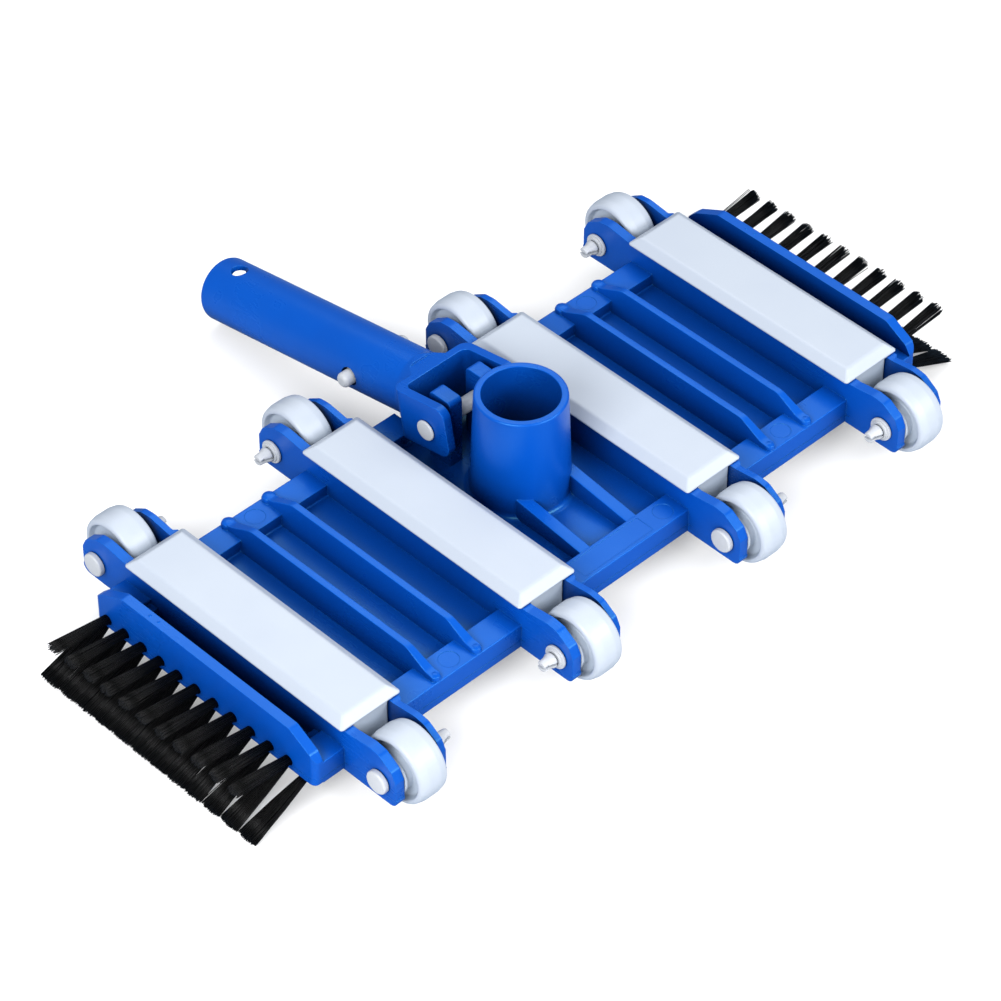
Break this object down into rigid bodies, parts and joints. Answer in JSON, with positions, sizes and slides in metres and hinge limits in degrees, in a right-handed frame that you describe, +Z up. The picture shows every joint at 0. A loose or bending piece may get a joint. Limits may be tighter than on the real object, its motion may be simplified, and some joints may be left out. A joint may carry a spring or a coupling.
{
  "type": "manual pool vacuum head",
  "caption": "Weighted pool vacuum head: a ribbed plate with side brushes, wheels on snap pins, a hose socket and a hinged pole handle with spring buttons.",
  "frame": {"origin": "on the floor plane, under the centre of the overall footprint with the handle in its rest pose", "axes": "+X along the head, +Y to the rear where the handle is, +Z up"},
  "size_m": [0.402, 0.284, 0.0697],
  "materials": {
    "blue_moulding": "satin injection moulding",
    "white_moulding": "satin",
    "white_nylon": "matte",
    "black_bristle": "nylon bristle bundle",
    "iron_bar": "as cast"
  },
  "bodies": {
    "head_frame": {"body_frame": "blue_moulding", "weight_cover_1": "white_moulding", "weight_cover_2": "white_moulding", "weight_cover_3": "white_moulding", "weight_cover_4": "white_moulding", "weight_core_1": "iron_bar", "weight_core_2": "iron_bar", "weight_core_3": "iron_bar", "weight_core_4": "iron_bar", "axle_front_1": "white_nylon", "axle_front_2": "white_nylon", "axle_front_3": "white_nylon", "axle_front_4": "white_nylon", "axle_rear_1": "white_nylon", "axle_rear_2": "white_nylon", "axle_rear_3": "white_nylon", "axle_rear_4": "white_nylon", "axle_collar_front_1": "white_nylon", "axle_collar_front_2": "white_nylon", "axle_collar_front_3": "white_nylon", "axle_collar_front_4": "white_nylon", "axle_collar_rear_1": "white_nylon", "axle_collar_rear_2": "white_nylon", "axle_collar_rear_3": "white_nylon", "axle_collar_rear_4": "white_nylon", "hinge_pin": "white_nylon", "hinge_pin_collar": "white_nylon", "brush_left_upper": "black_bristle", "brush_left_lower": "black_bristle", "brush_right_upper": "black_bristle", "brush_right_lower": "black_bristle"},
    "handle": {"handle": "blue_moulding", "clip_bend": "white_nylon"},
    "button_left": {"clip_button_left": "white_nylon"},
    "button_right": {"clip_button_right": "white_nylon"},
    "wheel_front_1": {"wheel_front_1": "white_moulding"},
    "wheel_front_2": {"wheel_front_2": "white_moulding"},
    "wheel_front_3": {"wheel_front_3": "white_moulding"},
    "wheel_front_4": {"wheel_front_4": "white_moulding"},
    "wheel_rear_1": {"wheel_rear_1": "white_moulding"},
    "wheel_rear_2": {"wheel_rear_2": "white_moulding"},
    "wheel_rear_3": {"wheel_rear_3": "white_moulding"},
    "wheel_rear_4": {"wheel_rear_4": "white_moulding"}
  },
  "joints": [
    {"name": "handle_tilt", "type": "hinge", "parent": "head_frame", "child": "handle", "pos_m": [0, -0.00963, 0.04168], "axis": [1, 0, 0], "range_deg": [-2, 98]},
    {"name": "button_left_press", "type": "hinge", "parent": "handle", "child": "button_left", "pos_m": [-0.0099, 0.01889, 0.03639], "axis": [0, -0.1822, -0.9833], "range_deg": [0, 9.5]},
    {"name": "button_right_press", "type": "hinge", "parent": "handle", "child": "button_right", "pos_m": [0.0099, 0.01889, 0.03639], "axis": [0, 0.1822, 0.9833], "range_deg": [0, 9.5]},
    {"name": "wheel_front_1_spin", "type": "hinge", "parent": "head_frame", "child": "wheel_front_1", "pos_m": [-0.1425, -0.12593, 0.02328], "axis": [1, 0, 0], "continuous": true},
    {"name": "wheel_front_2_spin", "type": "hinge", "parent": "head_frame", "child": "wheel_front_2", "pos_m": [-0.0475, -0.12593, 0.02328], "axis": [1, 0, 0], "continuous": true},
    {"name": "wheel_front_3_spin", "type": "hinge", "parent": "head_frame", "child": "wheel_front_3", "pos_m": [0.0475, -0.12593, 0.02328], "axis": [1, 0, 0], "continuous": true},
    {"name": "wheel_front_4_spin", "type": "hinge", "parent": "head_frame", "child": "wheel_front_4", "pos_m": [0.1425, -0.12593, 0.02328], "axis": [1, 0, 0], "continuous": true},
    {"name": "wheel_rear_1_spin", "type": "hinge", "parent": "head_frame", "child": "wheel_rear_1", "pos_m": [-0.1425, 0.04007, 0.02328], "axis": [1, 0, 0], "continuous": true},
    {"name": "wheel_rear_2_spin", "type": "hinge", "parent": "head_frame", "child": "wheel_rear_2", "pos_m": [-0.0475, 0.04007, 0.02328], "axis": [1, 0, 0], "continuous": true},
    {"name": "wheel_rear_3_spin", "type": "hinge", "parent": "head_frame", "child": "wheel_rear_3", "pos_m": [0.0475, 0.04007, 0.02328], "axis": [1, 0, 0], "continuous": true},
    {"name": "wheel_rear_4_spin", "type": "hinge", "parent": "head_frame", "child": "wheel_rear_4", "pos_m": [0.1425, 0.04007, 0.02328], "axis": [1, 0, 0], "continuous": true}
  ]
}
